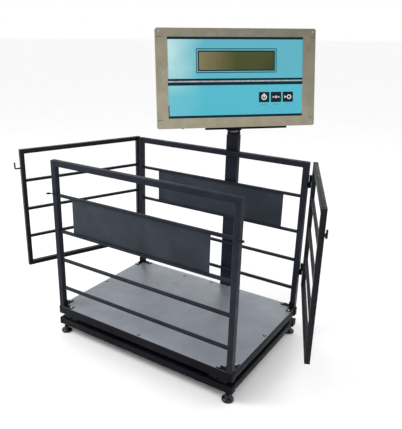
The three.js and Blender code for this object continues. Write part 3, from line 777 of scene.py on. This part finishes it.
INK = ink("teal_ink", (0.002, 0.016, 0.028), shine=0.08)
PALE_INK = ink("grey_violet_ink", (0.33, 0.37, 0.42))
WHITE_INK = ink("white_ink", (0.72, 0.75, 0.76))
NAVY = moulded("navy_key", (0.0025, 0.008, 0.015), 0.4, 0.00004, shine=0.12)
FILM_Z = -0.0026  # front of the film, behind the bezel's face
PRINT = 0.00018  # how far printed parts stand off the film
PANEL_LIP = 0.010  # how far the face panel reaches behind the bezel
KEY_KINDS = ("left", "middle", "right")
BAND = 0.017  # height of the dark bands along the top and bottom of the film
DIVIDER = (0.001, -0.014, -0.0235, -0.046)  # edges of its dark, pale and dark lines, downwards


def strip(piece, u0, u1, v0, v1, lift=1.0):
    piece.block((u0, v0, FILM_Z), (u1, v1, FILM_Z + PRINT * lift))


def outline_ring(piece, u0, u1, v0, v1, width, radius=0.004, lift=1.0):
    outer = rounded(u0, u1, v0, v1, radius)
    inner = shrunk((u0, u1, v0, v1), width, max(radius - width, 0.0005))
    piece.plate([outer, inner], FILM_Z, FILM_Z + PRINT * lift)


def segment(piece, start, end, level, bar, upright=False):
    """One bar of a digit with pointed ends, from start to end, centred on level."""
    half = bar / 2
    near, far = (level + half, level - half) if upright else (level - half, level + half)
    points = [(start + half, level), (start + bar, near), (end - bar, near),
              (end - half, level), (end - bar, far), (start + bar, far)]
    if upright:
        points = [(y, x) for x, y in points]
    piece.rings([[(x, y, z) for x, y in points] for z in (0, PRINT)])


def segment_digits(piece, u0, u1, v0, v1, count=6):
    """Unlit seven-segment digits, faint in the display."""
    pitch = (u1 - u0) / count
    tall, wide, bar = (v1 - v0) * 0.62, pitch * 0.5, (v1 - v0) * 0.07
    mid = (v0 + v1) / 2
    for i in range(count):
        c = u0 + pitch * (i + 0.5)
        for v in (mid - tall / 2, mid, mid + tall / 2):
            segment(piece, c - wide / 2, c + wide / 2, v, bar)
        for u in (c - wide / 2, c + wide / 2):
            for low, high in ((mid - tall / 2, mid), (mid, mid + tall / 2)):
                segment(piece, low, high, u, bar, upright=True)


def face_film():
    """The printed film over the face panel, its lines and frames, and the display behind it."""
    u0, u1, v0, v1, _, front = face_rect("indicator_face_panel")
    u0, u1, v0, v1 = u0 + PANEL_LIP, u1 - PANEL_LIP, v0 + PANEL_LIP, v1 - PANEL_LIP
    window = face_rect("display_window")
    key_rects = [face_rect(f"key_{kind}") for kind in KEY_KINDS]
    holes = [rounded(*window[:4], 0.002)] + [shrunk(k, 0.0024, 0.004) for k in key_rects]
    sheet = Piece("face_film", "indicator", film(), "face_membrane", FACE)
    sheet.plate([shrunk((u0, u1, v0, v1), 0.0004, 0.003), *holes], front + 0.00002, FILM_Z)
    sheet.done()

    dark = Piece("face_print_dark", "indicator", INK, "key_plastic", FACE)
    pale = Piece("face_print_pale", "indicator", PALE_INK, "face_membrane", FACE)
    edge = 0.0006
    left, right, low, high = u0 + edge, u1 - edge, v0 + edge, v1 - edge
    strip(dark, left, right, high - BAND, high)
    strip(dark, left, right, low, low + BAND)
    for piece, upper, lower in zip((dark, pale, dark), DIVIDER, DIVIDER[1:]):
        strip(piece, left, right, lower, upper)
    strip(dark, left, left + 0.0065, low + BAND, low + 0.09)
    strip(pale, left, left + 0.004, DIVIDER[0], high - BAND)
    strip(pale, right - 0.005, right, low + BAND, DIVIDER[-1])
    w0, w1, w2, w3 = window[:4]
    outline_ring(dark, w0 - 0.021, w1 + 0.017, w2 - 0.018, w3 + 0.020, 0.0055)
    outline_ring(dark, w0 - 0.0085, w1 + 0.0045, w2 - 0.0055, w3 + 0.0055, 0.0085)
    for k in key_rects:  # two dots under each key
        cu, base = (k[0] + k[1]) / 2, k[2]
        for du in (-0.012, 0.012):
            dark.lathe([(0.0032, FILM_Z), (0.0032, FILM_Z + PRINT)],
                       Matrix.Translation((cu + du, base - 0.014, 0)), 16)
    dark.done()
    pale.done()

    olive = liquid_crystal("olive_display")
    glass = Piece("display_glass", "indicator", olive, "display_glass", FACE)
    glass.plate([shrunk(window, 0.0008, 0.002)], window[4], window[5] - 0.0003)
    glass.done(rounding=0.0004, replaces=["display_window"])
    segments = Piece("display_segments", "indicator", liquid_crystal("unlit_segments", 0.93),
                     "display_glass", FACE @ Matrix.Translation((0, 0, window[5] - 0.00035)))
    segment_digits(segments, w0 + 0.03, w1 - 0.03, w2, w3)
    segments.done()


def pictogram(piece, kind, cu, cv, z):
    """White signs: a ring with a bar, two arrow heads about a ring, an arrow head by a ring."""
    place = Matrix.Translation((cu, cv, z))

    def ring(x, r, width):
        piece.plate([arc(x, 0, r, 0, 350, 35), arc(x, 0, r - width, 0, 350, 35)], 0, PRINT, place)

    def arrow(x, size, way):
        tail, tip = x - way * size / 2, x + way * size / 2
        points = [(tail, -size * 0.6), (tip, 0), (tail, size * 0.6)]
        piece.rings([[(px, py, pz) for px, py in points] for pz in (0, PRINT)], place)

    if kind == "left":
        ring(0, 0.021, 0.0075)
        piece.block((-0.0042, -0.004, 0), (0.0042, 0.027, PRINT), place)
    elif kind == "middle":
        arrow(-0.019, 0.011, 1)
        arrow(0.019, 0.011, -1)
        ring(0, 0.0095, 0.0055)
    else:
        arrow(-0.0195, 0.016, 1)
        ring(0.009, 0.017, 0.0068)


def keys():
    """A domed cap with a collar and a sign, in place of each plain key."""
    for kind in KEY_KINDS:
        u0, u1, v0, v1, back, front = face_rect(f"key_{kind}")
        lip = 0.003
        body = f"key_{kind}_body"
        cap = Piece(f"key_cap_{kind}", body, NAVY, "key_plastic", FACE)
        top = (u0 + lip, u1 - lip, v0 + lip, v1 - lip)
        levels = [(0.0, back), (0.0, front - 0.0011), (0.0006, front - 0.0005),
                  (0.0018, front - 0.0001), (0.004, front)]
        cap.rings([[(x, y, z) for x, y in shrunk(top, inset, 0.005)] for inset, z in levels])
        collar = rounded(u0, u1, v0, v1, 0.005)
        cap.rings([[(x, y, z) for x, y in collar] for z in (back, back + 0.0011)])
        cap.done(replaces=[f"key_{kind}"])
        sign = Piece(f"key_sign_{kind}", body, WHITE_INK, "key_plastic", FACE)
        pictogram(sign, kind, (u0 + u1) / 2, (v0 + v1) / 2, front - 0.0001)
        sign.done()


def housing_details():
    """Bezel screws and corner seams at the front, screws round the back, bolts under the rail."""
    _, half_wide, _, half_high, _, front = face_rect("indicator_front_bezel")
    heads = Piece("housing_screws", "indicator", ZINC, "zinc_plate", FACE)
    marks = Piece("housing_seams_and_recess_shade", "indicator", BLACK, "black_frame", FACE)

    def screw(spot, radius):
        pan_screw(heads, spot, radius)
        # painted shade: a dark cross on each screw head stands for its recess
        cross_recess(marks, spot, radius)

    for su in (-1, 1):
        for sv in (-1, 1):
            corner = ((half_wide - 0.026) * su, (half_high - 0.024) * sv, front)
            spin = Matrix.Rotation(random.uniform(0, 1.5), 4, "Z")
            sunk = Matrix.Translation((0, 0, -0.0022))
            screw(Matrix.Translation(corner) @ spin @ sunk, 0.0055)
            edge = half_wide * su
            near, far = sorted((edge - su * 0.0005, edge - su * 0.046))
            seam = (half_high - 0.06) * sv
            marks.block((near, seam - 0.0012, front - 0.0012),
                        (far, seam + 0.0012, front + 0.00012))
    _, rear_wide, rear_low, rear_high, back, _ = face_rect("indicator_rear_housing")
    for share in (-0.75, -0.25, 0.25, 0.75):
        for sv in (-1, 1):
            at = ((rear_wide - 0.04) * share, (rear_high - 0.03) * sv, back + 0.0004)
            screw(facing(at, (0, 0, -1), random.uniform(0, 1.5)), 0.006)
    rail = face_rect("indicator_mounting_rail")
    under = rear_low - 0.0065
    for u in (rail[0] + 0.06, rail[1] - 0.06):
        for depth in (-0.05, -0.12):
            hex_bolt(heads, facing((u, under, depth), (0, -1, 0), random.uniform(0, 1)), 0.008)
    heads.done()
    marks.done()


def mast_details():
    """Bolts in the mast's flange and clamp bracket, lobed knobs on the tilt pin, and welds."""
    flange, bolt_circle = 0.008, 0.038
    bolts = Piece("mast_bolts", "scale", CELL, "zinc_plate")
    mast, half = middle_of("indicator_mast")
    top = mast.z + half.z
    for k in range(4):
        a = math.radians(45 + 90 * k)
        at = mast + Vector((math.cos(a) * bolt_circle, math.sin(a) * bolt_circle,
                            top - mast.z - flange))
        hex_bolt(bolts, facing(at, (0, 0, -1), a), 0.007)
    lo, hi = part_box("mast_clamp_bracket")
    for x in (lo.x + 0.018, hi.x - 0.018):
        hex_bolt(bolts, facing((x, lo.y + 0.0058, (lo.z + hi.z) / 2), Y, 0.3), 0.009)
    for x, way in ((mast.x - 0.0556, -1), (mast.x + 0.0556, 1)):
        for z in (lo.z + 0.014, hi.z - 0.014):
            hex_bolt(bolts, facing((x, mast.y, z), (way, 0, 0), 0.5), 0.007)
    bolts.done()

    beads = Piece("mast_welds", "scale", TUBE, "tube_paint")
    rim = Vector((mast.x, mast.y, top - flange))
    weld_bead(beads, square(rim, 0.05, 0.02, X, Y), 0.0022)
    beads.done(smooth=60)

    pin, _ = middle_of("tilt_pin")
    length = extent("tilt_pin", (RIGHT,), pin)[0][1]
    plastic = moulded("knob_plastic", (0.01, 0.01, 0.011), 0.5, 0.0001)
    knobs = Piece("tilt_knobs", "turntable", plastic, "gland_plastic")
    shaft = Piece("tilt_shaft", "turntable", ZINC, "zinc_plate")
    levels = [(0.80, 0.0), (0.95, 0.001), (1.0, 0.003), (1.0, 0.010), (0.94, 0.0125),
              (0.7, 0.0138)]
    turns = [2 * math.pi * k / 60 for k in range(60)]
    lobes = [(0.0122 + 0.0016 * math.cos(6 * a), a) for a in turns]
    for way in (-1, 1):
        place = facing(pin + RIGHT * (length - 0.014) * way, RIGHT * way)
        knobs.rings([[(r * share * math.cos(a), r * share * math.sin(a), z) for r, a in lobes]
                     for share, z in levels], place)
    shaft.lathe([(0.0074, -length + 0.011), (0.008, -length + 0.012), (0.008, length - 0.012),
                 (0.0074, length - 0.011)], facing(pin, RIGHT), 32)
    knobs.done(smooth=50, replaces=["tilt_pin"])
    shaft.done()


LEAF_HEIGHT = 0.046  # of the lower half of a hinge
HOOK_RADIUS, EYE_WIRE = 0.006, 0.0042
EYE_WELD_END = 0.749  # distance from the middle, just inside the post's outer face


def hinge_and_latch_welds():
    """Beads along the hinge leaves, and where hooks and eyes meet their tubes."""
    fixed = Piece("hinge_pin_welds", "scale", TUBE, "tube_paint")
    for side, sign in SIDES:
        for level in ("upper", "lower"):
            lo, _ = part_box(f"{side}_{level}_hinge_pin")
            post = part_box(f"back_fence_{side}_post")
            leaf_end = post[1].y - 0.003
            face = post[1 if sign > 0 else 0].x
            for z in (lo.z, lo.z + LEAF_HEIGHT):
                run = [Vector((face, lo.y + 0.001, z)), Vector((face, leaf_end, z))]
                weld_bead(fixed, run, 0.0016, closed=False)
            run = [Vector((face, lo.y, lo.z)), Vector((face, lo.y, lo.z + LEAF_HEIGHT))]
            weld_bead(fixed, run, 0.0018, closed=False)
        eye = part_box(f"{side}_latch_eye")
        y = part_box(f"front_fence_{side}_post")[0].y - 0.0008
        z = (eye[0].z + eye[1].z) / 2
        inner = eye[0].x if sign > 0 else eye[1].x
        for lift in (-EYE_WIRE, EYE_WIRE):
            run = [Vector((inner, y, z + lift)), Vector((sign * EYE_WELD_END, y, z + lift))]
            weld_bead(fixed, run, 0.0015, closed=False)
        pivot, along, out = gate_axes(side, sign)
        pivot = Vector((pivot.x, pivot.y, 0))
        moving = Piece(f"{side}_gate_latch_welds", f"{side}_gate", GATE, "tube_paint")
        (_, reach), (_, face) = extent(f"{side}_gate_frame", (along, out), pivot)
        hook_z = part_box(f"{side}_gate_latch_hook")[0].z + HOOK_RADIUS
        for lift in (-HOOK_RADIUS, HOOK_RADIUS):
            start = pivot + along * (reach - 0.027) + out * (face + 0.001) + Z * (hook_z + lift)
            weld_bead(moving, [start, start + along * 0.026], 0.0016, closed=False)
        moving.done(smooth=60)
    fixed.done(smooth=60)


fence_welds()
gate_welds()
frame_welds()
end_caps()
shoe_bolts()
deck_screws()
levelling_feet()
face_film()
keys()
housing_details()
mast_details()
hinge_and_latch_welds()


# ---------------------------------------------------------------- floor, light, camera
def studio():
    """A wide pale floor, a white world and three soft lamps."""
    lo, hi = cad_box
    bpy.ops.mesh.primitive_plane_add(size=600, location=(0, 0, lo.z - 0.0005))
    floor = bpy.context.object
    floor.name = "floor"
    m = Material("pale floor")
    tone = m.remap(m.noise(2.0, 4), 0.3, 0.7, 0.0, 1.0)
    m.set(Base_Color=m.mix(tone, (0.93, 0.93, 0.93), (0.95, 0.95, 0.95)), Roughness=0.75)
    floor.data.materials.append(m.material)

    world = bpy.data.worlds.new("studio")
    bpy.context.scene.world = world
    world.use_nodes = True
    back = world.node_tree.nodes["Background"]
    back.inputs["Color"].default_value = (1.0, 1.0, 1.0, 1)
    back.inputs["Strength"].default_value = 1.0

    def lamp(name, place, aim, size, power):
        data = bpy.data.lights.new(name, "AREA")
        data.shape, data.size, data.energy = "DISK", size, power
        made = bpy.data.objects.new(name, data)
        made.location = place
        made.rotation_euler = (Vector(aim) - Vector(place)).to_track_quat("-Z", "Y").to_euler()
        bpy.context.scene.collection.objects.link(made)

    centre = ((lo + hi) / 2).to_tuple()
    lamp("key light", (-3.2, -3.6, 5.2), centre, 3.0, 190)
    lamp("fill light", (4.5, -2.0, 3.0), centre, 4.0, 12)
    lamp("rim light", (4.2, 4.0, 4.5), centre, 3.5, 60)


CAMERA = {  # metres, degrees and millimetres
    "at": (1.9952, -3.2691, 2.2575),
    "yaw": 34.572, "pitch": -19.902, "roll": 0.474,
    "lens": 44.50, "shift": (0.0765, 0.0103),
}


def camera():
    data = bpy.data.cameras.new("camera")
    data.sensor_width = 36
    data.lens = CAMERA["lens"]
    data.shift_x, data.shift_y = CAMERA["shift"]
    data.clip_end = 100
    made = bpy.data.objects.new("camera", data)
    yaw, pitch, roll = (math.radians(CAMERA[k]) for k in ("yaw", "pitch", "roll"))
    level = Matrix.Rotation(yaw, 4, "Z") @ Matrix.Rotation(math.pi / 2 + pitch, 4, "X")
    made.matrix_world = Matrix.Translation(CAMERA["at"]) @ level @ Matrix.Rotation(roll, 4, "Z")
    bpy.context.scene.collection.objects.link(made)
    bpy.context.scene.camera = made


studio()
camera()
bpy.context.scene.view_settings.view_transform = "Standard"
